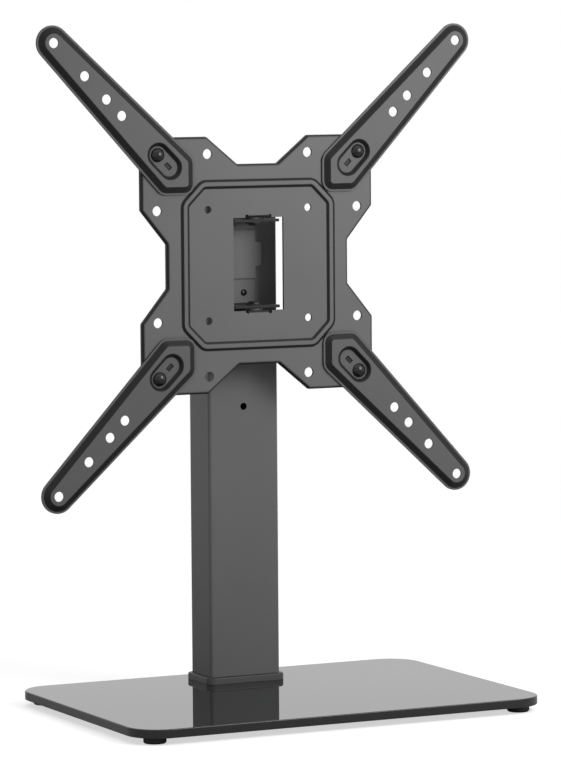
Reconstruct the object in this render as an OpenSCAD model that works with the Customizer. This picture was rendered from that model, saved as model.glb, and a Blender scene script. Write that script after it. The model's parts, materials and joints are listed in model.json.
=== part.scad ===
// Table-top stand with a swivelling mount for a flat screen
// Z is up, X is to the right, and the front of the stand faces -Y
// The origin lies on the table, under the middle of the glass

/* [Glass base] */
// Width of the glass plate
glass_w = 400; // [360:1:520]
// Depth of the glass plate
glass_d = 280; // [260:1:360]
// Thickness of the glass plate
glass_t = 8; // [6:0.5:12]
// Corner radius of the glass in plan
glass_corner_r = 30; // [15:1:60]
// Ground bevel along the edges of the glass
glass_bevel = 0.6; // [0.2:0.1:1.5]
// Diameter of the four holes through the glass
glass_hole_d = 9; // [8.4:0.1:12]
// Distance from the middle of the column to the rear edge of the glass
column_inset = 48.5; // [48.5:0.5:80]

/* [Feet] */
// Diameter of a rubber foot
foot_d = 20; // [16:0.5:30]
// Height of a rubber foot
foot_h = 6; // [5:0.5:12]
// Distance of a foot's centre from the side edge of the glass
foot_side_inset = 21.5; // [20:0.5:45]
// Distance of a foot's centre from the front or rear edge of the glass
foot_front_inset = 19; // [18:0.5:45]
// Bevel round the lower edge of a foot
foot_bevel = 1; // [0.4:0.1:2]

/* [Base fixing] */
// Distance between the base screws across the stand
base_screw_w = 44; // [36:1:48]
// Distance between the base screws front to back
base_screw_d = 20; // [14:1:22]
// Thread diameter of a base screw
base_thread_d = 6; // [5:0.1:6]
// Diameter of the countersunk head
base_head_d = 12; // [10:0.1:12.5]
// Width of the steel plate under the glass
under_w = 110; // [80:1:160]
// Depth of the steel plate under the glass
under_d = 80; // [60:1:90]
// Thickness of the steel plate under the glass
under_t = 3.4; // [3.4:0.1:3.8]
// Corner radius of the steel plate under the glass
under_corner_r = 6; // [2:0.5:12]
// Thickness of the rubber sheets above and below the glass
gasket_t = 1; // [0.5:0.1:1.2]
// Thickness of the threaded plate in the column's foot
foot_plate_t = 6; // [5:0.5:12]

/* [Column] */
// Width of the column tube
column_w = 70; // [60:1:80]
// Depth of the column tube
column_d = 43; // [36:1:50]
// Wall of the column tube
column_wall = 2; // [1.5:0.1:2.5]
// Outer corner radius of the column tube
column_corner_r = 3; // [2.6:0.1:5]
// Height of the column tube
column_h = 435; // [380:1:520]
// Diameter of a height hole
height_hole_d = 6.5; // [6.2:0.1:7.5]
// Distance from one height hole to the next
height_hole_pitch = 52; // [45:1:55]
// Number of height holes
height_hole_count = 4; // [2:1:6]
// Thickness of the end cap above the tube
cap_t = 3; // [2:0.5:6]
// Depth of the end cap's skirt in the tube
cap_skirt_h = 8; // [4:0.5:12]
// Wall of the end cap's skirt
cap_skirt_t = 1.6; // [1:0.1:2.5]
// Bevel round the end cap's upper edge
cap_bevel = 0.9; // [0.4:0.1:1.2]

/* [Collar] */
// Height of the trim round the column's foot
collar_h = 6.5; // [5:0.5:14]
// How far the trim stands out from the column
collar_proud = 4; // [3:0.1:6]
// Rounding of the trim's upper edge
collar_round = 1.6; // [0.5:0.1:2]

/* [Swivel bracket] */
// Distance of the mount's centre below the column's upper end
mount_drop = 51; // [42:1:100]
// Sheet thickness of the bracket
bracket_t = 2.5; // [2.5:0.1:4]
// Width of the bracket's web
bracket_w = 22; // [20:0.5:26]
// Gap on each side between the bracket's flanges and the slot they can swing into
flange_side_gap = 1; // [0.8:0.1:3]
// Reach of the bracket's flanges ahead of the swivel's axis
flange_front = 9; // [8:0.5:9.5]
// Reach of the flanges' wide part behind the swivel's axis
flange_rear = 11; // [9:0.5:12]
// Rounding of the flanges' corners in plan
flange_corner_r = 3; // [1:0.5:5]
// Inner radius of the bracket's bends
bracket_bend_r = 1.5; // [0.5:0.1:2.5]
// Distance of the swivel's axis in front of the column
pivot_out = 21; // [20:0.5:24]
// Height of the middle of the lower bracket screw below the mount's centre
screw_drop = 27.5; // [26:0.5:29]
// Thread diameter of a bracket screw
bracket_thread_d = 6; // [5:0.1:6]
// Head diameter of a bracket screw
bracket_head_d = 10.5; // [9:0.1:13]
// Head height of a bracket screw
bracket_head_h = 3.3; // [2.5:0.1:5]
// Thickness of a bracket screw's washer
bracket_washer_t = 1.6; // [1:0.1:2.5]
// Outer diameter of a bracket screw's washer
bracket_washer_d = 12; // [11:0.5:16]
// Outer diameter of a spacer in the column
spacer_d = 10; // [9:0.5:14]
// Height of the cover plate on the bracket's web
cover_h = 44; // [40:0.5:50]
// Width of the cover plate between its notches
cover_w = 34; // [28:0.5:40]
// Thickness of the cover plate
cover_t = 2; // [1.5:0.1:3]
// Height of a corner notch in the cover plate
cover_notch_h = 10.5; // [8:0.5:14]
// Height of the slant from a notch to the cover plate's side
cover_slant_h = 1.5; // [0.5:0.5:4]
// Height of the cover plate's middle above the mount's centre
cover_up = 7.5; // [6:0.5:8.5]

/* [Mount plate] */
// Distance of the mount plate's face in front of the column
plate_out = 34; // [33.5:0.5:40]
// Width and height of the mount plate
plate_size = 231; // [226:1:250]
// Sheet thickness of the mount plate
plate_t = 2.5; // [2:0.1:3]
// Depth of the mount plate over its bent-back rim
plate_depth = 5; // [4:0.1:8]
// Cut-off at the mount plate's corners
plate_corner_cut = 14; // [8:0.5:16]
// Width of an edge notch at its mouth
notch_mouth_w = 101; // [90:1:104]
// Width of an edge notch at its floor
notch_floor_w = 40; // [30:1:50]
// Depth of an edge notch
notch_depth = 25; // [20:0.5:28]
// Rounding of the outline's corners
outline_r = 3; // [1:0.5:4]
// Side of the square screen pattern of the inner holes
inner_pattern = 100; // [96:1:102]
// Side of the square of the arms' bolts, and long side of the outer screen patterns
outer_pattern = 200; // [196:1:202]
// Diameter of the outer screen holes
outer_hole_d = 9; // [8:0.1:10]
// Diameter of the inner screen holes
inner_hole_d = 7; // [5:0.1:8]
// Width of the slot in the middle
slot_w = 50; // [40:0.5:54]
// Height of the slot in the middle
slot_h = 84; // [82:0.5:86]
// Half size of the raised bead, to the middle of its crest
bead_half = 72.8; // [71:0.1:74]
// Distance from the middle at which the bead turns its corner
bead_corner = 55; // [50:0.5:56]
// Height of the bead
bead_h = 1.5; // [0.8:0.1:2]
// Width of the bead's flat crest
bead_crest_w = 4.2; // [2:0.1:5]
// Width of one sloping side of the bead
bead_flank_w = 1.8; // [1:0.1:2.2]
// Plan radius of the bead's bends
bead_bend_r = 8; // [6:0.5:14]
// Width of a tab behind the slot
tab_w = 20; // [16:0.5:22]
// Width and depth of the relief cut beside a tab
relief_w = 3; // [2:0.1:4]

/* [Swivel pins] */
// Diameter of a swivel pin
pin_d = 8; // [6:0.1:10]
// Head diameter of a swivel pin
pin_head_d = 13; // [11:0.5:16]
// Head height of a swivel pin
pin_head_h = 3.5; // [2.5:0.1:5]
// Thickness of a plastic bush
bush_t = 1.5; // [1:0.1:2]
// Outer diameter of a plastic bush
bush_d = 17; // [15:0.5:18]
// Thickness of a steel washer behind the plate
washer_t = 1.6; // [1:0.1:2.5]
// Outer diameter of a steel washer behind the plate
washer_d = 16; // [14:0.5:18]
// Width across the flats of a nut
nut_af = 13; // [12:0.5:17]
// Height of a lock nut with its nylon ring
nut_h = 8; // [6:0.5:10]

/* [Arms] */
// Side of the square screen pattern that the arms' second holes make
arm_pattern_mid = 300; // [290:1:310]
// Side of the square screen pattern that the arms' outer holes make
arm_pattern_far = 400; // [390:1:420]
// Diameter of the arm holes
arm_hole_d = 9; // [7:0.1:10]
// Sheet thickness of an arm
arm_t = 1.8; // [1.4:0.1:2.2]
// Rise of an arm's face above its lip
arm_rise = 3; // [2:0.1:4]
// Width of an arm's flat lip
arm_lip_w = 2; // [1:0.1:2.4]
// Width of an arm's sloping wall
arm_slope_w = 5; // [4:0.1:5.2]
// Radius of an arm's outer end
arm_tip_r = 15.5; // [15:0.1:18]
// Radius of an arm's inner corner
arm_nose_r = 10; // [9.6:0.1:11]
// Distance from the arm's bolt to the middle of its inner corner
arm_nose_back = 36.8; // [35:0.1:38]
// Radius of an arm's shoulders
arm_shoulder_r = 12; // [11:0.1:13]
// Distance from the arm's bolt back to its shoulders
arm_shoulder_back = 23.2; // [20:0.1:24]
// Sideways distance of an arm's shoulders
arm_shoulder_side = 10.8; // [10:0.1:12]
// Radius of the pocket round the bolt, at its floor
pocket_floor_r = 8.3; // [7.5:0.1:9]
// Radius of the pocket round the bolt, at the arm's face
pocket_mouth_r = 10.8; // [9.5:0.1:11.2]
// Length of the pocket between the centres of its ends
pocket_l = 16; // [14.5:0.5:18]
// Diameter of the arm bolt's thread, and side of the square neck under its head
arm_thread_d = 8; // [6:0.1:8.2]
// Head diameter of an arm bolt
arm_head_d = 12.6; // [11:0.1:14]
// Head height of an arm bolt
arm_head_h = 4.4; // [3.5:0.1:5.5]
// Distance from the arm's bolt to the lug that stops it turning
lug_back = 14.3; // [12.5:0.1:15]
// Length of a lug's slot
lug_slot_l = 7; // [5:0.1:8]
// Width of a lug's slot
lug_slot_w = 4; // [3:0.1:5]
// Height of a lug
lug_h = 1.1; // [0.8:0.1:1.7]
// Flange diameter of an arm nut
arm_nut_flange_d = 17; // [15:0.5:20]
// Flange thickness of an arm nut
arm_nut_flange_t = 1.8; // [1:0.1:3]

/* [Hidden] */
$fn = 64;
// Segments of a circle inside a hull
hull_fn = 32;
// Steps of a rounded corner of the mount plate's outline
corner_steps = 4;
// Steps of the mount plate's rounded front edge
edge_steps = 4;
// Steps of the collar's rounded upper edge
collar_steps = 3;
// Least radius that an outward corner keeps where the mount plate's outline is drawn in
least_corner_r = 0.4;

// Colours as they look on the object
painted_grey = [0.36, 0.36, 0.37];
arm_grey = [0.34, 0.34, 0.35];
bolt_black = [0.07, 0.07, 0.075];
trim_black = [0.17, 0.17, 0.175];
glass_dark = [0.12, 0.13, 0.13];
rubber_black = [0.06, 0.06, 0.06];
zinc_grey = [0.66, 0.67, 0.69];
nylon_white = [0.86, 0.86, 0.83];

// Clearances and the overrun of every cut
cut = 1;
thread_gap = 0.05;
running_gap = 0.06;
screw_gap = 0.2;
lug_gap = 0.7;
trim_gap = 0.3;
face_gap = 0.15;
weld_gap = 0.05;

// Levels above the table
under_z = foot_h - gasket_t - under_t;
glass_top = foot_h + glass_t;
column_z = glass_top + gasket_t;
column_top = column_z + column_h;
mount_z = column_top - mount_drop;
screw_low_z = mount_z - screw_drop;
height_hole_top_z = screw_low_z + height_hole_pitch;

// Height of the countersunk head, whose side slopes at 45 degrees
base_head_h = (base_head_d - base_thread_d) / 2;

// Distances front to back
column_back = glass_d / 2 - column_inset;
front_y = column_back - column_d / 2;
rear_y = column_back + column_d / 2;
web_y = front_y - bracket_t;
pivot_y = front_y - pivot_out;
plate_y = front_y - plate_out;

// Heights above and below the mount's centre
tab_face = slot_h / 2;
flange_face = tab_face - bush_t - 2 * face_gap;
flange_inner = flange_face - bracket_t;
flange_w = slot_w - 2 * flange_side_gap;

// Sheets that carry bolts are pressed, and a bend keeps the sheet's thickness
arm_h = arm_t + arm_rise;
arm_wall_angle = atan(arm_rise / arm_slope_w);
arm_wall_gain = arm_t * tan(arm_wall_angle / 2);
pocket_wall_angle = atan(arm_rise / (pocket_mouth_r - pocket_floor_r));
pocket_wall_gain = arm_t * tan(pocket_wall_angle / 2);

// Distances of an arm's four holes from its bolt: an arm turned level or upright reaches the same
// patterns with its first and third holes as the slanting arm does with its second and fourth
arm_reach_mid = (arm_pattern_mid - outer_pattern) / 2;
arm_reach_far = (arm_pattern_far - outer_pattern) / 2;
arm_tip = arm_reach_far * sqrt(2);
arm_holes = [arm_reach_mid, arm_reach_mid * sqrt(2), arm_reach_far, arm_tip];

// Screen holes and arm bolts of the mount plate
outer_holes = [
    for (sx = [-1, 1], sz = [-1, 1]) [sx * outer_pattern, sz * inner_pattern] / 2,
    for (sx = [-1, 1], sz = [-1, 1]) [sx * inner_pattern, sz * outer_pattern] / 2
];
inner_holes = [for (sx = [-1, 1], sz = [-1, 1]) [sx, sz] * inner_pattern / 2];
bolt_holes = [for (sx = [-1, 1], sz = [-1, 1]) [sx, sz] * outer_pattern / 2];

// Socket's width, socket floor's height and rim's height, as shares of a domed head
socket_share = 0.4;
socket_floor_share = 0.42;
head_rim_share = 0.22;
// Socket's width as a share of a countersunk screw's thread
countersunk_socket_share = 0.66;
// Nylon ring's height and width, as shares of a lock nut
nut_ring_share = 0.2;
nut_ring_width_share = 0.9;

// Rectangle with round corners, centred
module round_rect(w, d, r) {
    square([w - 2 * r, d], center = true);
    square([w, d - 2 * r], center = true);
    for (sx = [-1, 1], sy = [-1, 1])
        translate([sx * (w / 2 - r), sy * (d / 2 - r)])
            circle(r);
}

// Copies at the four corners of a centred rectangle
module at_corners(w, d) {
    for (sx = [-1, 1], sy = [-1, 1])
        translate([sx * w / 2, sy * d / 2, 0])
            children();
}

// Copies at the two bracket screws, turned so that +Z points to the rear
module at_bracket_screws() {
    for (i = [0, 1])
        translate([0, front_y, screw_low_z + i * height_hole_pitch])
            rotate([-90, 0, 0])
                children();
}

// Puts X right, Y up and Z forward on the mount plate's face
module on_plate() {
    translate([0, plate_y, mount_z])
        rotate([90, 0, 0])
            children();
}

// Puts a piece at one end of the swivel's axis, with +Z away from the mount's centre
module at_pivot(side) {
    translate([0, pivot_y, mount_z])
        mirror([0, 0, side < 0 ? 1 : 0])
            children();
}

// Puts an arm's own frame at its bolt, with +X along the arm
module at_arm(sx, sz) {
    translate([sx * outer_pattern / 2, sz * outer_pattern / 2, 0])
        rotate(sx > 0 ? sz * 45 : sz * 135)
            children();
}

// Plain domed head on Z = 0
module cup_head(d, h) {
    rim_h = h * head_rim_share;
    crown_r = (d * d / 4 + (h - rim_h) * (h - rim_h)) / (2 * (h - rim_h));
    rotate_extrude()
        intersection() {
            square([d / 2, h]);
            translate([0, h - crown_r])
                circle(crown_r, $fn = 4 * $fn);
        }
}

// Domed head on Z = 0 with a hexagon socket in its top
module button_head(d, h) {
    socket_af = d * socket_share;
    difference() {
        cup_head(d, h);
        translate([0, 0, h * socket_floor_share])
            cylinder(h = h, d = socket_af / cos(30), $fn = 6);
    }
}

// Hexagon nut with a round nylon ring on top, on Z = 0
module lock_nut(bore_d) {
    ring_h = nut_h * nut_ring_share;
    difference() {
        union() {
            cylinder(h = nut_h - ring_h, d = nut_af / cos(30), $fn = 6);
            cylinder(h = nut_h, d = nut_af * nut_ring_width_share);
        }
        translate([0, 0, -cut])
            cylinder(h = nut_h + 2 * cut, d = bore_d);
    }
}

// Flat ring on Z = 0
module ring(d_out, d_in, h) {
    difference() {
        cylinder(h = h, d = d_out);
        translate([0, 0, -cut])
            cylinder(h = h + 2 * cut, d = d_in);
    }
}

module glass_base() {
    corner_w = glass_w - 2 * glass_corner_r;
    corner_d = glass_d - 2 * glass_corner_r;
    color(glass_dark)
        difference() {
            translate([0, 0, foot_h])
                hull()
                    at_corners(corner_w, corner_d) {
                        cylinder(h = glass_t, r = glass_corner_r - glass_bevel);
                        translate([0, 0, glass_bevel])
                            cylinder(h = glass_t - 2 * glass_bevel, r = glass_corner_r);
                    }
            translate([0, column_back, foot_h - cut])
                at_corners(base_screw_w, base_screw_d)
                    cylinder(h = glass_t + 2 * cut, d = glass_hole_d);
        }
}

module foot(sx, sy) {
    color(rubber_black)
        translate([sx * (glass_w / 2 - foot_side_inset), sy * (glass_d / 2 - foot_front_inset), 0]) {
            cylinder(h = foot_bevel, d1 = foot_d - 2 * foot_bevel, d2 = foot_d);
            translate([0, 0, foot_bevel])
                cylinder(h = foot_h - foot_bevel, d = foot_d);
        }
}

module foot_front_left() foot(-1, -1);
module foot_front_right() foot(1, -1);
module foot_rear_left() foot(-1, 1);
module foot_rear_right() foot(1, 1);

module underside_plate() {
    color(zinc_grey)
        translate([0, column_back, under_z])
            difference() {
                linear_extrude(under_t)
                    round_rect(under_w, under_d, under_corner_r);
                at_corners(base_screw_w, base_screw_d) {
                    translate([0, 0, -cut])
                        cylinder(h = under_t + 2 * cut, d = base_thread_d + 2 * screw_gap);
                    cylinder(
                        h = base_head_h,
                        d1 = base_head_d + 2 * screw_gap,
                        d2 = base_thread_d + 2 * screw_gap
                    );
                }
            }
}

module underside_gasket() {
    color(rubber_black)
        translate([0, column_back, foot_h - gasket_t])
            difference() {
                linear_extrude(gasket_t)
                    round_rect(under_w, under_d, under_corner_r);
                translate([0, 0, -cut])
                    at_corners(base_screw_w, base_screw_d)
                        cylinder(h = gasket_t + 2 * cut, d = base_thread_d + 2 * screw_gap);
            }
}

module glass_bushes() {
    color(nylon_white)
        translate([0, column_back, foot_h])
            at_corners(base_screw_w, base_screw_d)
                ring(glass_hole_d - 2 * thread_gap, base_thread_d + 2 * screw_gap, glass_t);
}

module column_gasket() {
    color(rubber_black)
        translate([0, column_back, glass_top])
            difference() {
                linear_extrude(gasket_t)
                    round_rect(column_w, column_d, column_corner_r);
                translate([0, 0, -cut])
                    at_corners(base_screw_w, base_screw_d)
                        cylinder(h = gasket_t + 2 * cut, d = base_thread_d + 2 * screw_gap);
            }
}

module column_foot_plate() {
    plate_w = column_w - 2 * (column_wall + weld_gap);
    plate_d = column_d - 2 * (column_wall + weld_gap);
    color(painted_grey)
        translate([0, column_back, column_z])
            difference() {
                linear_extrude(foot_plate_t)
                    round_rect(plate_w, plate_d, column_corner_r);
                translate([0, 0, -cut])
                    at_corners(base_screw_w, base_screw_d)
                        cylinder(h = foot_plate_t + 2 * cut, d = base_thread_d + 2 * thread_gap);
            }
}

module base_screws() {
    socket_af = base_thread_d * countersunk_socket_share;
    color(bolt_black)
        translate([0, column_back, under_z])
            at_corners(base_screw_w, base_screw_d)
                difference() {
                    union() {
                        cylinder(h = base_head_h, d1 = base_head_d, d2 = base_thread_d);
                        cylinder(h = column_z + foot_plate_t - under_z, d = base_thread_d);
                    }
                    translate([0, 0, -cut])
                        cylinder(h = base_head_h / 2 + cut, d = socket_af / cos(30), $fn = 6);
                }
}

module column_collar() {
    inner_w = column_w + 2 * trim_gap;
    inner_d = column_d + 2 * trim_gap;
    inner_r = column_corner_r + trim_gap;
    color(trim_black)
        translate([0, column_back, glass_top])
            difference() {
                collar_outside();
                translate([0, 0, -cut])
                    linear_extrude(collar_h + 2 * cut)
                        round_rect(inner_w, inner_d, inner_r);
            }
}

// Outside of the collar: straight sides and, in steps, a rounded upper edge
module collar_outside() {
    straight_h = collar_h - collar_round;
    least_r = column_corner_r + collar_proud - collar_round;
    hull()
        at_corners(column_w - 2 * column_corner_r, column_d - 2 * column_corner_r)
            for (k = [0 : collar_steps])
                let (turn = 90 * k / collar_steps, rise = collar_round * sin(turn))
                cylinder(h = straight_h + rise, r = least_r + collar_round * cos(turn), $fn = hull_fn);
}

module column_tube() {
    color(painted_grey)
        difference() {
            translate([0, column_back, column_z])
                linear_extrude(column_h)
                    difference() {
                        round_rect(column_w, column_d, column_corner_r);
                        round_rect(
                            column_w - 2 * column_wall,
                            column_d - 2 * column_wall,
                            column_corner_r - column_wall
                        );
                    }
            for (i = [0 : height_hole_count - 1])
                translate([0, rear_y + cut, height_hole_top_z - i * height_hole_pitch])
                    rotate([90, 0, 0])
                        cylinder(h = column_d + 2 * cut, d = height_hole_d);
        }
}

module column_cap() {
    skirt_w = column_w - 2 * (column_wall + screw_gap);
    skirt_d = column_d - 2 * (column_wall + screw_gap);
    color(trim_black)
        translate([0, column_back, column_top]) {
            hull() {
                at_corners(column_w - 2 * column_corner_r, column_d - 2 * column_corner_r)
                    cylinder(h = cap_t, r = column_corner_r - cap_bevel, $fn = hull_fn);
                at_corners(column_w - 2 * column_corner_r, column_d - 2 * column_corner_r)
                    cylinder(h = cap_t - cap_bevel, r = column_corner_r, $fn = hull_fn);
            }
            translate([0, 0, -cap_skirt_h])
                linear_extrude(cap_skirt_h)
                    difference() {
                        round_rect(skirt_w, skirt_d, column_corner_r);
                        round_rect(
                            skirt_w - 2 * cap_skirt_t,
                            skirt_d - 2 * cap_skirt_t,
                            column_corner_r
                        );
                    }
        }
}

module column_spacers() {
    color(zinc_grey)
        at_bracket_screws()
            translate([0, 0, column_wall])
                ring(spacer_d, height_hole_d, column_d - 2 * column_wall);
}

module bracket_screws() {
    shank_l = bracket_t + column_d + bracket_washer_t;
    color(bolt_black)
        at_bracket_screws() {
            translate([0, 0, -bracket_t])
                cylinder(h = shank_l, d = bracket_thread_d);
            translate([0, 0, column_d + bracket_washer_t])
                button_head(bracket_head_d, bracket_head_h);
        }
}

module bracket_screw_washers() {
    color(zinc_grey)
        at_bracket_screws()
            translate([0, 0, column_d])
                ring(bracket_washer_d, height_hole_d, bracket_washer_t);
}

// Section of the bracket in the upright plane front to back, with the column's face on X = 0
module bracket_section() {
    reach = 2 * pivot_out;
    outer_r = bracket_bend_r + bracket_t;
    difference() {
        translate([-reach / 2, 0])
            round_rect(reach, 2 * flange_face, outer_r);
        translate([-reach / 2 - bracket_t, 0])
            round_rect(reach, 2 * flange_inner, bracket_bend_r);
    }
}

// Bracket seen from above, with the column's face on Y = 0: narrow at its bends and wide in front
module bracket_plan() {
    wide_l = flange_front + flange_rear;
    translate([0, wide_l / 2 - flange_front - pivot_out])
        round_rect(flange_w, wide_l, flange_corner_r);
    translate([-bracket_w / 2, -pivot_out])
        square([bracket_w, pivot_out]);
}

module swivel_bracket() {
    color(painted_grey)
        difference() {
            intersection() {
                translate([-flange_w / 2 - cut, front_y, mount_z])
                    rotate([90, 0, 90])
                        linear_extrude(flange_w + 2 * cut)
                            bracket_section();
                translate([0, front_y, mount_z - tab_face])
                    linear_extrude(2 * tab_face)
                        bracket_plan();
            }
            translate([0, pivot_y, mount_z - tab_face])
                cylinder(h = 2 * tab_face, d = pin_d + 2 * running_gap);
            at_bracket_screws()
                translate([0, 0, -bracket_t - cut])
                    cylinder(h = bracket_t + 2 * cut, d = bracket_thread_d + 2 * thread_gap);
        }
}

module bracket_cover_plate() {
    half_h = cover_h / 2;
    waist = half_h - cover_notch_h;
    corner = [
        [bracket_w / 2, half_h], [bracket_w / 2, waist], [cover_w / 2, waist - cover_slant_h]
    ];
    outline = [
        for (p = corner) p,
        for (i = [2 : -1 : 0]) [corner[i].x, -corner[i].y],
        for (p = corner) -p,
        for (i = [2 : -1 : 0]) [-corner[i].x, corner[i].y]
    ];
    color(painted_grey)
        translate([0, web_y, mount_z + cover_up])
            rotate([90, 0, 0])
                linear_extrude(cover_t)
                    polygon(outline);
}

// Direction of a plane vector
function unit(v) = v / norm(v);

// One corner of an outline that runs anticlockwise, rounded by r and drawn in by inset
function rounded_corner(before, p, after, r, inset) =
    let (
        d0 = unit(p - before),
        d1 = unit(after - p),
        n0 = [d0.y, -d0.x],
        n1 = [d1.y, -d1.x],
        side = sign(cross(d0, d1)),
        bend = acos(n0 * n1),
        turn_r = side > 0 ? max(r, inset + least_corner_r) : r,
        middle = p - side * turn_r * (n0 + n1) / (1 + n0 * n1)
    )
    [
        for (k = [0 : corner_steps])
            let (a = side * bend * k / corner_steps)
            middle + (side * turn_r - inset) * [n0.x * cos(a) - n0.y * sin(a), n0.x * sin(a) + n0.y * cos(a)]
    ];

// Outline of the mount plate, drawn in by inset: one edge with its notch, repeated on all four sides
function plate_outline(inset) =
    let (
        half = plate_size / 2,
        edge = [
            [half - plate_corner_cut, half],
            [notch_mouth_w / 2, half],
            [notch_floor_w / 2, half - notch_depth],
            [-notch_floor_w / 2, half - notch_depth],
            [-notch_mouth_w / 2, half],
            [plate_corner_cut - half, half]
        ],
        turns = [[1, 0], [0, 1], [-1, 0], [0, -1]],
        corners = [for (t = turns) for (p = edge) [p.x * t.x - p.y * t.y, p.x * t.y + p.y * t.x]],
        n = len(corners)
    )
    [
        for (i = [0 : n - 1])
            let (before = corners[(i + n - 1) % n], after = corners[(i + 1) % n])
            each rounded_corner(before, corners[i], after, outline_r, inset)
    ];

// Rim of the mount plate, bent back from the sheet with a rounded edge: its section, given as
// inset and height, is carried round the outline
module plate_rim() {
    section = [
        for (k = [0 : edge_steps])
            let (a = 90 * k / edge_steps)
            [plate_t * (1 - sin(a)), plate_t * (cos(a) - 1)],
        [0, -plate_depth],
        [plate_t, -plate_depth]
    ];
    n = len(plate_outline(0));
    m = len(section);
    polyhedron(
        points = [for (s = section) for (p = plate_outline(s[0])) [p.x, p.y, s[1]]],
        faces = [
            for (l = [0 : m - 1], i = [0 : n - 1])
                let (j = (i + 1) % n, below = (l + 1) % m)
                [below * n + i, l * n + i, l * n + j, below * n + j]
        ]
    );
}

// Solid inside the bead's line, growing from the line by grow_low below and by grow_high above
module bead_solid(h, grow_low, grow_high) {
    far = bead_half - bead_bend_r;
    near = bead_corner - bead_bend_r * tan(45 / 2);
    hull()
        for (sx = [-1, 1], sy = [-1, 1], p = [[far, near], [near, far]])
            translate([sx * p.x, sy * p.y, 0])
                cylinder(h = h, r1 = bead_bend_r + grow_low, r2 = bead_bend_r + grow_high, $fn = hull_fn);
}

// Pressed bead that stands on Z = 0 and reaches root below it
module bead_ring(root) {
    tall = bead_h + root;
    lean = bead_flank_w / bead_h;
    crest = bead_crest_w / 2;
    difference() {
        translate([0, 0, -root])
            bead_solid(tall, crest + lean * tall, crest);
        translate([0, 0, -root - cut])
            bead_solid(tall + 2 * cut, -crest - lean * (tall + cut), lean * cut - crest);
    }
}

// Slot, relief cuts and round holes of the mount plate, seen from the front
module plate_holes() {
    for (p = outer_holes)
        translate(p)
            circle(d = outer_hole_d);
    for (p = inner_holes)
        translate(p)
            circle(d = inner_hole_d);
    for (p = bolt_holes)
        translate(p)
            circle(d = arm_thread_d + 2 * thread_gap);
    square([slot_w, slot_h], center = true);
    for (sx = [-1, 1], sy = [-1, 1])
        translate([sx * (tab_w + relief_w) / 2, sy * (slot_h + relief_w) / 2]) {
            circle(d = relief_w);
            translate([-relief_w / 2, sy > 0 ? -relief_w / 2 - cut : 0])
                square([relief_w, relief_w / 2 + cut]);
        }
}

// The pressed sheet inside the rim, with its face on Z = 0
module plate_sheet() {
    bead_root = bead_h / 2;
    difference() {
        union() {
            translate([0, 0, -plate_t])
                linear_extrude(plate_t)
                    difference() {
                        polygon(plate_outline(plate_t));
                        plate_holes();
                    }
            bead_ring(bead_root);
        }
        translate([0, 0, -plate_t])
            bead_ring(bead_root);
    }
}

// Tab bent back from one end of the slot, with a round end on the swivel's axis
module plate_tab(side) {
    reach = pivot_y - plate_y;
    at_pivot(side)
        translate([0, 0, tab_face])
            difference() {
                union() {
                    cylinder(h = plate_t, d = tab_w);
                    translate([-tab_w / 2, -reach, 0])
                        cube([tab_w, reach, plate_t]);
                }
                translate([0, 0, -cut])
                    cylinder(h = plate_t + 2 * cut, d = pin_d + 2 * thread_gap);
            }
}

// What the rounding of a tab's bend takes off the front of the plate
module tab_bend_cut(side) {
    at_pivot(side)
        translate([-tab_w / 2, plate_y - pivot_y, tab_face])
            rotate([90, 0, 90])
                linear_extrude(tab_w)
                    difference() {
                        translate([-cut, -cut])
                            square(plate_t + cut);
                        translate([plate_t, plate_t])
                            circle(plate_t);
                    }
}

module vesa_plate() {
    lug_l = lug_slot_l - 2 * lug_gap;
    lug_w = lug_slot_w - 2 * lug_gap;
    color(painted_grey)
        difference() {
            union() {
                on_plate() {
                    plate_sheet();
                    plate_rim();
                    for (p = bolt_holes)
                        at_arm(sign(p.x), sign(p.y))
                            translate([-lug_back - lug_l / 2, -lug_w / 2, -lug_h])
                                cube([lug_l, lug_w, 2 * lug_h]);
                }
                plate_tab(1);
                plate_tab(-1);
            }
            tab_bend_cut(1);
            tab_bend_cut(-1);
        }
}

module pivot_bolt(side) {
    head_z = flange_inner - face_gap;
    end_z = tab_face + plate_t + washer_t + nut_h;
    color(bolt_black)
        at_pivot(side)
            translate([0, 0, head_z]) {
                cylinder(h = end_z - head_z, d = pin_d);
                mirror([0, 0, 1])
                    button_head(pin_head_d, pin_head_h);
            }
}

module pivot_bolt_upper() pivot_bolt(1);
module pivot_bolt_lower() pivot_bolt(-1);

module pivot_bush(side) {
    color(trim_black)
        at_pivot(side)
            translate([0, 0, tab_face - bush_t])
                ring(bush_d, pin_d + 2 * thread_gap, bush_t);
}

module pivot_bush_upper() pivot_bush(1);
module pivot_bush_lower() pivot_bush(-1);

module pivot_steel_washers() {
    color(zinc_grey)
        for (side = [-1, 1])
            at_pivot(side)
                translate([0, 0, tab_face + plate_t])
                    ring(washer_d, pin_d + 2 * thread_gap, washer_t);
}

module pivot_nut(side) {
    color(zinc_grey)
        at_pivot(side)
            translate([0, 0, tab_face + plate_t + washer_t])
                lock_nut(pin_d + 2 * thread_gap);
}

module pivot_nut_upper() pivot_nut(1);
module pivot_nut_lower() pivot_nut(-1);

// Solid with an arm's outline, drawn in by inset_low below and by inset_high above
module arm_solid(h, inset_low, inset_high) {
    ends = [
        [-arm_nose_back, 0, arm_nose_r],
        [-arm_shoulder_back, -arm_shoulder_side, arm_shoulder_r],
        [-arm_shoulder_back, arm_shoulder_side, arm_shoulder_r],
        [arm_tip, 0, arm_tip_r]
    ];
    hull()
        for (e = ends)
            translate([e.x, e.y, 0])
                cylinder(h = h, r1 = e.z - inset_low, r2 = e.z - inset_high, $fn = hull_fn);
}

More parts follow.
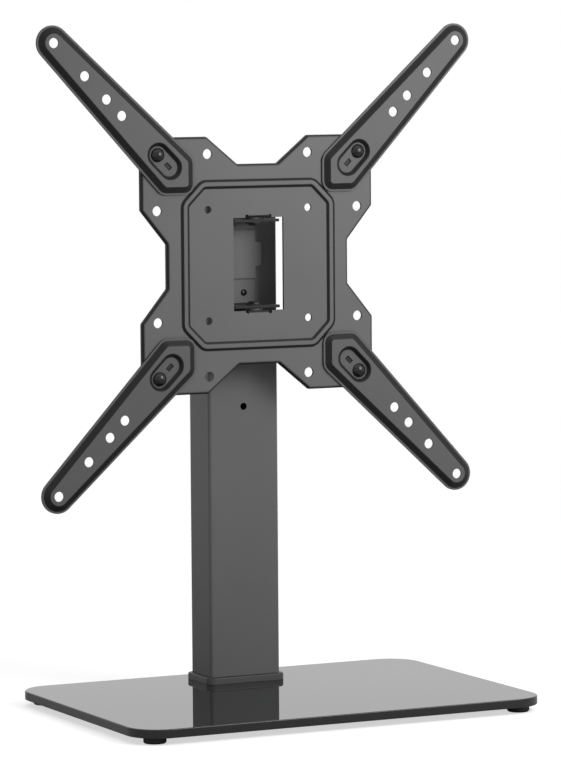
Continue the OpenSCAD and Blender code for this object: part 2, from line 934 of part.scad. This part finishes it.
// Solid with the pocket's outline, from r_low below to r_high above
module pocket_solid(h, r_low, r_high) {
    hull()
        for (u = [-pocket_l, 0])
            translate([u, 0, 0])
                cylinder(h = h, r1 = r_low, r2 = r_high, $fn = hull_fn);
}

// Pressed arm with its back on Z = 0 and its bolt at the origin
module arm_sheet() {
    wall_inset = arm_lip_w + arm_slope_w;
    slope_low = arm_slope_w * cut / arm_rise;
    pocket_slope = pocket_mouth_r - pocket_floor_r;
    pocket_low = pocket_slope * cut / arm_rise;
    neck_hole_w = arm_thread_d + 2 * screw_gap;
    difference() {
        union() {
            arm_solid(arm_t, 0, 0);
            translate([0, 0, arm_t])
                arm_solid(arm_rise, arm_lip_w, wall_inset);
        }
        difference() {
            translate([0, 0, -cut])
                arm_solid(
                    arm_rise + cut,
                    arm_lip_w + arm_wall_gain - slope_low,
                    wall_inset + arm_wall_gain
                );
            translate([0, 0, -cut])
                pocket_solid(
                    arm_rise + 2 * cut,
                    pocket_floor_r + pocket_wall_gain - pocket_low,
                    pocket_mouth_r + pocket_wall_gain + pocket_low
                );
        }
        translate([0, 0, arm_t])
            pocket_solid(arm_rise + cut, pocket_floor_r, pocket_mouth_r + pocket_low);
        translate([0, 0, -cut]) {
            for (u = arm_holes)
                translate([u, 0, 0])
                    cylinder(h = arm_h + 2 * cut, d = arm_hole_d);
            translate([-neck_hole_w / 2, -neck_hole_w / 2, 0])
                cube([neck_hole_w, neck_hole_w, arm_h + 2 * cut]);
            translate([-lug_back - lug_slot_l / 2, -lug_slot_w / 2, 0])
                cube([lug_slot_l, lug_slot_w, arm_h]);
        }
    }
}

module arm(sx, sz) {
    color(arm_grey)
        on_plate()
            at_arm(sx, sz)
                arm_sheet();
}

module arm_upper_left() arm(-1, 1);
module arm_upper_right() arm(1, 1);
module arm_lower_left() arm(-1, -1);
module arm_lower_right() arm(1, -1);

module arm_bolts() {
    grip = arm_t + plate_t;
    color(bolt_black)
        on_plate()
            for (p = bolt_holes)
                translate([p.x, p.y, arm_t]) {
                    cup_head(arm_head_d, arm_head_h);
                    rotate(45)
                        translate([-arm_thread_d / 2, -arm_thread_d / 2, -arm_t])
                            cube([arm_thread_d, arm_thread_d, arm_t]);
                    translate([0, 0, -grip - nut_h])
                        cylinder(h = grip + nut_h, d = arm_thread_d);
                }
}

module arm_nuts() {
    bore_d = arm_thread_d + 2 * thread_gap;
    color(zinc_grey)
        on_plate()
            for (p = bolt_holes)
                translate([p.x, p.y, -plate_t])
                    mirror([0, 0, 1]) {
                        ring(arm_nut_flange_d, bore_d, arm_nut_flange_t);
                        lock_nut(bore_d);
                    }
}

glass_base();
foot_front_left();
foot_front_right();
foot_rear_left();
foot_rear_right();
underside_plate();
underside_gasket();
glass_bushes();
column_gasket();
column_foot_plate();
base_screws();
column_collar();
column_tube();
column_cap();
column_spacers();
bracket_screws();
bracket_screw_washers();
swivel_bracket();
bracket_cover_plate();
vesa_plate();
pivot_bolt_upper();
pivot_bolt_lower();
pivot_bush_upper();
pivot_bush_lower();
pivot_steel_washers();
pivot_nut_upper();
pivot_nut_lower();
arm_upper_left();
arm_upper_right();
arm_lower_left();
arm_lower_right();
arm_bolts();
arm_nuts();
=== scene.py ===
"""Looks of the screen stand: a dark glass base, a painted column, and a head with four pressed arms."""

import json
import math

import bmesh
import bpy
from mathutils import Matrix, Vector


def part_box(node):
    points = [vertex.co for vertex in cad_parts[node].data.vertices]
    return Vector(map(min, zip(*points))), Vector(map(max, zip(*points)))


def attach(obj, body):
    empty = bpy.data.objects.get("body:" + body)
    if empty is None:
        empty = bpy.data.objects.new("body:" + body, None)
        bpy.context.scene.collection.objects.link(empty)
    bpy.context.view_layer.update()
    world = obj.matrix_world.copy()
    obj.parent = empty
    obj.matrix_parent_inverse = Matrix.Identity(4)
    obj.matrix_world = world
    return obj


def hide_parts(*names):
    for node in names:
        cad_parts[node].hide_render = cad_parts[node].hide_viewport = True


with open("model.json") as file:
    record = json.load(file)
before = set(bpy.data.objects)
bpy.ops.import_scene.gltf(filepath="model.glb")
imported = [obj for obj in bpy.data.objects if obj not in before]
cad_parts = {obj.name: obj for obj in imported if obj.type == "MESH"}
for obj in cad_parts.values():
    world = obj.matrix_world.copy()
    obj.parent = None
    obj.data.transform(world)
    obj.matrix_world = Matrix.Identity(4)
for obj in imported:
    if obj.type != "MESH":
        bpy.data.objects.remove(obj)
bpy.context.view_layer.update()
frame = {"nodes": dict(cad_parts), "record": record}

MM = 0.001

# The camera, as the screen holes in the mount plate place it. Its focal length is in the photograph's
# pixels, its sensor in millimetres, and its place in metres along its own turned axes.
PHOTO_HEIGHT = 764
FOCAL_PIXELS = 4200
SENSOR = 36
CAMERA_YAW = math.radians(26.12)
CAMERA_PITCH = math.radians(4.6)
CAMERA_ROLL = math.radians(-0.43)
CAMERA_PLACE = (0.0008, 0.2937, 3.7892)

# Joining of the triangles of a CAD mesh into flat faces
MERGE = 0.002 * MM
FLAT = math.radians(0.5)

# How far the surface turns at a fold of pressed sheet, and from where to where it is a cut edge
FOLD_FROM = math.radians(24)
EDGE_FROM = math.radians(62)
EDGE_TO = math.radians(175)

# Widths and steps of the rounding of folds, edges and the ends of screws
FOLD_WIDTH = 0.8 * MM
FOLD_STEPS = 3
EDGE_WIDTH = 0.25 * MM
GLASS_EDGE_WIDTH = 0.2 * MM
BOLT_EDGE_WIDTH = 0.3 * MM
EDGE_STEPS = 2
SCREW_END_WIDTH = 2.4 * MM
SCREW_END_STEPS = 6

# Greys of the painted steel and of the trim in the open, and the darker greys painted on as shade on
# walls and in shaded places
PAINT = 0.131
PAINT_CLOUDS = 0.06
PAINTED_SHADE_GREY = 0.014
TRIM_DARKEST = 0.072
TRIM_LIGHTEST = 0.086
TRIM_PAINTED_SHADE_GREY = 0.012

# How much of the way to the painted shade grey the arms' faces, the lugs and the bracket's flanges go
ARM_PAINTED_SHADE = 0.19
LUG_PAINTED_SHADE = 0.9
FLANGE_PAINTED_SHADE = 0.95

# Degrees by which a face of pressed sheet turns from the front where its wall, with the shade painted
# on it, begins and is whole
WALL_FROM = 5
WALL_TO = 18

# Upward part of a face's normal where the shade painted on the trim's upper edge begins and is whole,
# and from which on a face of the glass is polished
TRIM_EDGE_FROM = 0.1
TRIM_EDGE_TO = 0.5
GLASS_FACE_FROM = 0.98

# Height of the mount's middle, and how far from it the plate's lugs and the bracket's flanges, which
# get painted shade, begin.
# The lugs stand forward of LUG_FRONT, a place in the frame.
PLATE_LOW, PLATE_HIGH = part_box("vesa_plate")
MOUNT_MIDDLE = (PLATE_LOW.z + PLATE_HIGH.z) / 2
LUG_FROM = 80 * MM
LUG_FRONT = 35.4 * MM
FLANGE_FROM = 36.5 * MM

# The range in which most of a noise lies
NOISE_LOW = 0.3
NOISE_HIGH = 0.7

# Light and floor. The floor's radius and fade are in metres
WHITE = (1, 1, 1, 1)
ROOM_LIGHT = 0.3
FLOOR_RADIUS = 2.2
FLOOR_CORNERS = 96
FLOOR_FADE_FROM = 0.7
FLOOR_FADE_TO = 2.1
FLOOR_GREY = 0.5
FLOOR_GLOW = 0.62


class Wire:
    """An output socket of a node. Arithmetic on it adds Math nodes."""

    def __init__(self, tree, socket):
        self.tree = tree
        self.socket = socket

    def combine(self, operation, other):
        node = self.tree.nodes.new("ShaderNodeMath")
        node.operation = operation
        for place, value in zip(node.inputs, (self, other)):
            feed(self.tree, place, value)
        return Wire(self.tree, node.outputs[0])

    def __add__(self, other):
        return self.combine("ADD", other)

    __radd__ = __add__

    def __mul__(self, other):
        return self.combine("MULTIPLY", other)

    __rmul__ = __mul__

    def at_least(self, other):
        return self.combine("MAXIMUM", other)


def feed(tree, place, value):
    """Sets a socket, or links a wire to it."""
    if isinstance(value, Wire):
        tree.links.new(value.socket, place)
    else:
        place.default_value = value


class Nodes:
    """The nodes of a material or of the world."""

    def __init__(self, owner):
        owner.use_nodes = True
        self.tree = owner.node_tree
        self.tree.nodes.clear()

    def node(self, kind, settings=None, sockets=None, output=0):
        """Adds a node: its settings first, then its sockets, by name or number."""
        node = self.tree.nodes.new("ShaderNode" + kind)
        for name, value in (settings or {}).items():
            setattr(node, name, value)
        for name, value in (sockets or {}).items():
            feed(self.tree, node.inputs[name], value)
        return Wire(self.tree, node.outputs[output])

    def close(self, end_kind, surface):
        """Ends the tree in its output node."""
        end = self.tree.nodes.new("ShaderNode" + end_kind)
        feed(self.tree, end.inputs["Surface"], surface)


class Finish(Nodes):
    """A material and the nodes that it is built from."""

    def __init__(self, name):
        self.material = bpy.data.materials.new(name)
        super().__init__(self.material)

    def place(self):
        """Position on the piece, in metres."""
        return self.node("TexCoord", output="Object")

    def turn(self):
        """The piece's attribute 'turn': its share of painted shade, 0 on an open face, up to 1 on a
        wall or in a shaded place; on the glass, its share of ground edge.
        """
        return self.node("Attribute", {"attribute_name": "turn"}, output="Fac")

    def noise(self, size, detail):
        """Noise from 0 to 1 whose spots are about size metres across."""
        sockets = {"Vector": self.place(), "Scale": 1 / size, "Detail": detail}
        return self.node("TexNoise", sockets=sockets)

    def ramp(self, value, low, high, bottom=0, top=1):
        """Carries value from the range low to high over to the range bottom to top."""
        sockets = {"Value": value, "From Min": low, "From Max": high, "To Min": bottom, "To Max": top}
        return self.node("MapRange", {"interpolation_type": "SMOOTHSTEP"}, sockets)

    def spread(self, noise, bottom, top):
        """Spreads a noise over the range bottom to top."""
        return self.ramp(noise, NOISE_LOW, NOISE_HIGH, bottom, top)

    def blend(self, share, first, second):
        """Colour between first and second. The Mix node's colours are its sockets 6 and 7."""
        sockets = {0: share, 6: first, 7: second}
        return self.node("Mix", {"data_type": "RGBA"}, sockets, output=2)

    def bump(self, height, depth, strength):
        """Normal of a surface whose height runs from 0 to depth metres."""
        return self.node("Bump", sockets={"Height": height, "Distance": depth, "Strength": strength})

    def shade(self, **sockets):
        """Ends the material in its surface shader."""
        names = {name.replace("_", " "): value for name, value in sockets.items()}
        self.close("OutputMaterial", self.node("BsdfPrincipled", sockets=names))
        return self.material


def grey(value):
    """Colour of one grey."""
    return (value, value, value, 1)


def painted_steel():
    """Satin powder coat on steel, with shade painted on as a darker grey on the walls of the pressed
    sheet and in shaded places.
    """
    finish = Finish("painted_steel")
    grain = finish.noise(size=0.9 * MM, detail=3)
    clouds = finish.noise(size=60 * MM, detail=2)
    open_face = finish.blend(clouds, grey(PAINT * (1 - PAINT_CLOUDS)), grey(PAINT * (1 + PAINT_CLOUDS)))
    return finish.shade(
        # Painted shade: the open face's grey goes over to the shaded grey where the attribute 'turn' is
        # high
        Base_Color=finish.blend(finish.turn(), open_face, grey(PAINTED_SHADE_GREY)),
        Roughness=finish.spread(grain, 0.38, 0.48),
        Normal=finish.bump(grain, depth=0.03 * MM, strength=0.6),
        Specular_IOR_Level=0.15,
    )


def dark_glass():
    """Dark tempered glass: black all through, polished faces, ground edges."""
    finish = Finish("dark_glass")
    haze = finish.noise(size=35 * MM, detail=3)
    polished = finish.ramp(haze, 0.35, 0.75, 0.02, 0.035)
    ground = finish.turn()
    return finish.shade(
        Base_Color=finish.blend(ground, (0.006, 0.0068, 0.0068, 1), (0.012, 0.0125, 0.0125, 1)),
        Roughness=polished + ground * 0.16,
        IOR=1.5,
    )


def black_steel():
    """Black zinc on the screws and bolts."""
    finish = Finish("black_steel")
    spots = finish.noise(size=2.5 * MM, detail=3)
    return finish.shade(
        Base_Color=finish.blend(spots, grey(0.004), grey(0.008)),
        Roughness=finish.spread(spots, 0.18, 0.24),
        Specular_IOR_Level=0.36,
    )


def zinc_steel():
    """Bright zinc on the hidden steel pieces."""
    finish = Finish("zinc_steel")
    spangle = finish.noise(size=4 * MM, detail=2)
    return finish.shade(
        Base_Color=finish.blend(spangle, (0.5, 0.51, 0.53, 1), (0.66, 0.67, 0.68, 1)),
        Metallic=1.0,
        Roughness=finish.spread(spangle, 0.26, 0.42),
    )


def white_nylon():
    """Natural nylon of the bushes in the glass."""
    finish = Finish("white_nylon")
    clouds = finish.noise(size=3 * MM, detail=2)
    return finish.shade(
        Base_Color=finish.blend(clouds, (0.62, 0.61, 0.57, 1), (0.72, 0.71, 0.67, 1)),
        Roughness=finish.spread(clouds, 0.38, 0.5),
    )


def black_rubber():
    """Matt rubber of the feet and gaskets."""
    finish = Finish("black_rubber")
    grain = finish.noise(size=0.5 * MM, detail=3)
    return finish.shade(
        Base_Color=finish.blend(grain, grey(0.012), grey(0.022)),
        Roughness=finish.spread(grain, 0.62, 0.8),
        Normal=finish.bump(grain, depth=0.04 * MM, strength=0.5),
    )


def black_plastic():
    """Finely grained black plastic, with shade painted on as a darker grey on the upper edge of the
    column's trim.
    """
    finish = Finish("black_plastic")
    grain = finish.noise(size=0.7 * MM, detail=3)
    open_face = finish.blend(grain, grey(TRIM_DARKEST), grey(TRIM_LIGHTEST))
    return finish.shade(
        # Painted shade: the grain's grey goes over to the shaded grey where the attribute 'turn' is
        # high
        Base_Color=finish.blend(finish.turn(), open_face, grey(TRIM_PAINTED_SHADE_GREY)),
        Roughness=finish.spread(grain, 0.36, 0.46),
        Normal=finish.bump(grain, depth=0.03 * MM, strength=0.5),
        Specular_IOR_Level=0.3,
    )


# The finish of each material slot, and the slot and the body of each node
FINISHES = {
    "painted_steel": painted_steel(),
    "dark_glass": dark_glass(),
    "black_steel": black_steel(),
    "zinc_steel": zinc_steel(),
    "white_nylon": white_nylon(),
    "black_rubber": black_rubber(),
    "black_plastic": black_plastic(),
}
SLOT_OF = {part["node"]: part["material_slot"] for part in frame["record"]["subparts"]}
BODY_OF = {
    node: body
    for body, nodes in frame["record"]["behaviour"]["bodies"].items()
    for node in nodes
}


def dress_cad_nodes():
    """The CAD nodes that stay get their finish."""
    for node, piece in frame["nodes"].items():
        piece.data.materials.clear()
        piece.data.materials.append(FINISHES[SLOT_OF[node]])


def merged_copy(node):
    """A copy of a CAD node's mesh with its triangles joined into flat faces."""
    form = bmesh.new()
    form.from_mesh(frame["nodes"][node].data)
    bmesh.ops.remove_doubles(form, verts=form.verts, dist=MERGE)
    bmesh.ops.dissolve_limit(form, angle_limit=FLAT, verts=form.verts, edges=form.edges)
    return form


def bevel(form, edges, width, steps):
    """Rounds the given edges."""
    bmesh.ops.bevel(
        form,
        geom=edges,
        offset=width,
        segments=steps,
        profile=0.5,
        affect="EDGES",
        material=-1,
        clamp_overlap=True,
    )


def round_edges(form, turn_from, turn_to, width, steps):
    """Rounds the edges at which the surface turns by an angle in the given range."""
    edges = [
        edge
        for edge in form.edges
        if edge.is_manifold and turn_from < edge.calc_face_angle() < turn_to
    ]
    bevel(form, edges, width, steps)


def finish_piece(form, name, node, turn=None):
    """Makes the shaped mesh a piece that stands for its CAD node. turn gives a face's 'turn': its share
    of painted shade, and on the glass its share of ground edge.
    """
    slot = SLOT_OF[node]
    mesh = bpy.data.meshes.new(name)
    form.to_mesh(mesh)
    form.free()
    mesh.materials.append(FINISHES[slot])
    mesh.shade_smooth()
    if turn:
        shares = mesh.attributes.new("turn", "FLOAT", "FACE")
        shares.data.foreach_set("value", [turn(face) for face in mesh.polygons])
    piece = bpy.data.objects.new(name, mesh)
    bpy.context.scene.collection.objects.link(piece)
    even = piece.modifiers.new("even_shading", "WEIGHTED_NORMAL")
    even.keep_sharp = True
    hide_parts(node)
    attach(piece, BODY_OF[node])


def smooth_step(value, low, high):
    """0 below low, 1 above high, and a smooth rise between them."""
    share = min(max((value - low) / (high - low), 0), 1)
    return share * share * (3 - 2 * share)


def turned_from_front(face):
    """How far a face of a pressed sheet turns away from the sheet's front and back: its share of the
    shade painted on walls.
    """
    turn = math.degrees(Vector((0, -1, 0)).angle(face.normal))
    return smooth_step(min(turn, 180 - turn), WALL_FROM, WALL_TO)


def painted_shade_on_arm(face):
    """The same on an arm, whose coat is painted darker all over as shade."""
    return ARM_PAINTED_SHADE + (1 - ARM_PAINTED_SHADE) * turned_from_front(face)


def painted_shade_on_plate(face):
    """The same on the mount plate, whose lugs get the shade of the arms' slots painted on."""
    turn = turned_from_front(face)
    beside = max(abs(face.center.x), abs(face.center.z - MOUNT_MIDDLE))
    on_lug = beside > LUG_FROM and face.center.y < LUG_FRONT
    return max(turn, LUG_PAINTED_SHADE) if on_lug else turn


def painted_shade_on_bracket(face):
    """The bracket's flanges get the mount plate's shade painted on."""
    return FLANGE_PAINTED_SHADE if abs(face.center.z - MOUNT_MIDDLE) > FLANGE_FROM else 0


def painted_shade_on_collar(face):
    """The trim's rounded upper edge gets the column's shade painted on."""
    return smooth_step(face.normal.z, TRIM_EDGE_FROM, TRIM_EDGE_TO)


def turned_on_glass(face):
    """The glass's edge is ground all round."""
    return 1 if abs(face.normal.z) < GLASS_FACE_FROM else 0


def pressed_sheet(node, turn):
    """A pressed arm or the mount plate, with bent folds and blunted edges."""
    form = merged_copy(node)
    round_edges(form, FOLD_FROM, EDGE_FROM, FOLD_WIDTH, FOLD_STEPS)
    round_edges(form, EDGE_FROM, EDGE_TO, EDGE_WIDTH, EDGE_STEPS)
    finish_piece(form, node + "_pressed", node, turn)


def blunted(node, width=EDGE_WIDTH, turn=None):
    """A CAD node with its edges blunted."""
    form = merged_copy(node)
    round_edges(form, FOLD_FROM, EDGE_TO, width, EDGE_STEPS)
    finish_piece(form, node + "_blunted", node, turn)


def bracket_screws():
    """The bracket's screws, whose front ends are rounded."""
    form = merged_copy("bracket_screws")
    front = min(vertex.co.y for vertex in form.verts)
    rims = [edge for edge in form.edges if all(vertex.co.y < front + MERGE for vertex in edge.verts)]
    bevel(form, rims, SCREW_END_WIDTH, SCREW_END_STEPS)
    finish_piece(form, "bracket_screws_rounded", "bracket_screws")


def make_pieces():
    """The pieces that take the place of their CAD nodes. The other nodes stay as they are."""
    pressed_sheet("vesa_plate", painted_shade_on_plate)
    for node in ("arm_upper_left", "arm_upper_right", "arm_lower_left", "arm_lower_right"):
        pressed_sheet(node, painted_shade_on_arm)
    blunted("glass_base", GLASS_EDGE_WIDTH, turned_on_glass)
    blunted("swivel_bracket", turn=painted_shade_on_bracket)
    blunted("arm_bolts", BOLT_EDGE_WIDTH)
    blunted("column_collar", turn=painted_shade_on_collar)
    for node in ("column_tube", "bracket_cover_plate", "column_cap"):
        blunted(node)
    bracket_screws()


def make_camera():
    """The photograph's camera: turned, then moved along its own axes."""
    camera = bpy.data.objects.new("camera", bpy.data.cameras.new("camera"))
    turned = (
        Matrix.Rotation(-CAMERA_YAW, 4, "Z")
        @ Matrix.Rotation(math.pi / 2 - CAMERA_PITCH, 4, "X")
        @ Matrix.Rotation(CAMERA_ROLL, 4, "Z")
    )
    camera.matrix_world = turned @ Matrix.Translation(CAMERA_PLACE)
    camera.data.sensor_width = SENSOR
    camera.data.lens = FOCAL_PIXELS * SENSOR / PHOTO_HEIGHT
    bpy.context.scene.collection.objects.link(camera)
    bpy.context.scene.camera = camera


def make_world():
    """White behind the object for the camera and in its reflections, and an even room light."""
    world = bpy.data.worlds.new("room")
    room = Nodes(world)
    seen = room.node("LightPath", output="Is Camera Ray")
    seen = seen.at_least(room.node("LightPath", output="Is Glossy Ray"))
    seen = seen.at_least(room.node("LightPath", output="Is Transmission Ray"))
    strength = seen * (1 - ROOM_LIGHT) + ROOM_LIGHT
    room.close("OutputWorld", room.node("Background", sockets={"Color": WHITE, "Strength": strength}))
    bpy.context.scene.world = world


def floor_finish():
    """Pale and matt under the object, white to the camera, and clear towards the rim."""
    finish = Finish("floor")
    distance = finish.node("VectorMath", {"operation": "LENGTH"}, {0: finish.place()}, output="Value")
    fade = finish.ramp(distance, FLOOR_FADE_FROM, FLOOR_FADE_TO)
    seen = finish.node("LightPath", output="Is Camera Ray")
    matt = finish.node("BsdfDiffuse", sockets={"Color": grey(FLOOR_GREY)})
    glow = finish.node("Emission", sockets={"Color": WHITE, "Strength": seen * FLOOR_GLOW})
    lit = finish.node("AddShader", sockets={0: matt, 1: glow})
    clear = finish.node("BsdfTransparent")
    finish.close("OutputMaterial", finish.node("MixShader", sockets={0: fade, 1: lit, 2: clear}))
    return finish.material


def make_floor():
    """A round floor that fades out into the white background."""
    form = bmesh.new()
    bmesh.ops.create_circle(form, cap_ends=True, segments=FLOOR_CORNERS, radius=FLOOR_RADIUS)
    mesh = bpy.data.meshes.new("floor")
    form.to_mesh(mesh)
    form.free()
    mesh.materials.append(floor_finish())
    floor = bpy.data.objects.new("floor", mesh)
    bpy.context.scene.collection.objects.link(floor)


def make_lamp(name, towards, strength, spread):
    """A soft lamp far away: it shines along towards and is spread degrees wide."""
    lamp = bpy.data.objects.new(name, bpy.data.lights.new(name, "SUN"))
    lamp.data.energy = strength
    lamp.data.angle = math.radians(spread)
    lamp.rotation_euler = Vector(towards).to_track_quat("-Z", "Y").to_euler()
    bpy.context.scene.collection.objects.link(lamp)


def make_panel(name, place, target, power, size):
    """A square light panel near the object, so that its light falls off across it."""
    panel = bpy.data.objects.new(name, bpy.data.lights.new(name, "AREA"))
    panel.data.energy = power
    panel.data.size = size
    panel.location = place
    panel.rotation_euler = (Vector(target) - Vector(place)).to_track_quat("-Z", "Y").to_euler()
    bpy.context.scene.collection.objects.link(panel)


def make_light():
    """Two broad lamps, from above and from behind, and a panel at the front right."""
    make_lamp("top_lamp", towards=(0.1, 0.1, -1), strength=0.8, spread=90)
    make_lamp("rear_lamp", towards=(-0.2, -0.5, -0.85), strength=0.6, spread=50)
    make_panel("front_panel", place=(0.42, -0.7, 0.7), target=(0, 0.03, 0.4), power=6.6, size=0.5)


make_camera()
dress_cad_nodes()
make_pieces()
make_world()
make_floor()
make_light()
bpy.context.scene.view_settings.view_transform = "Standard"
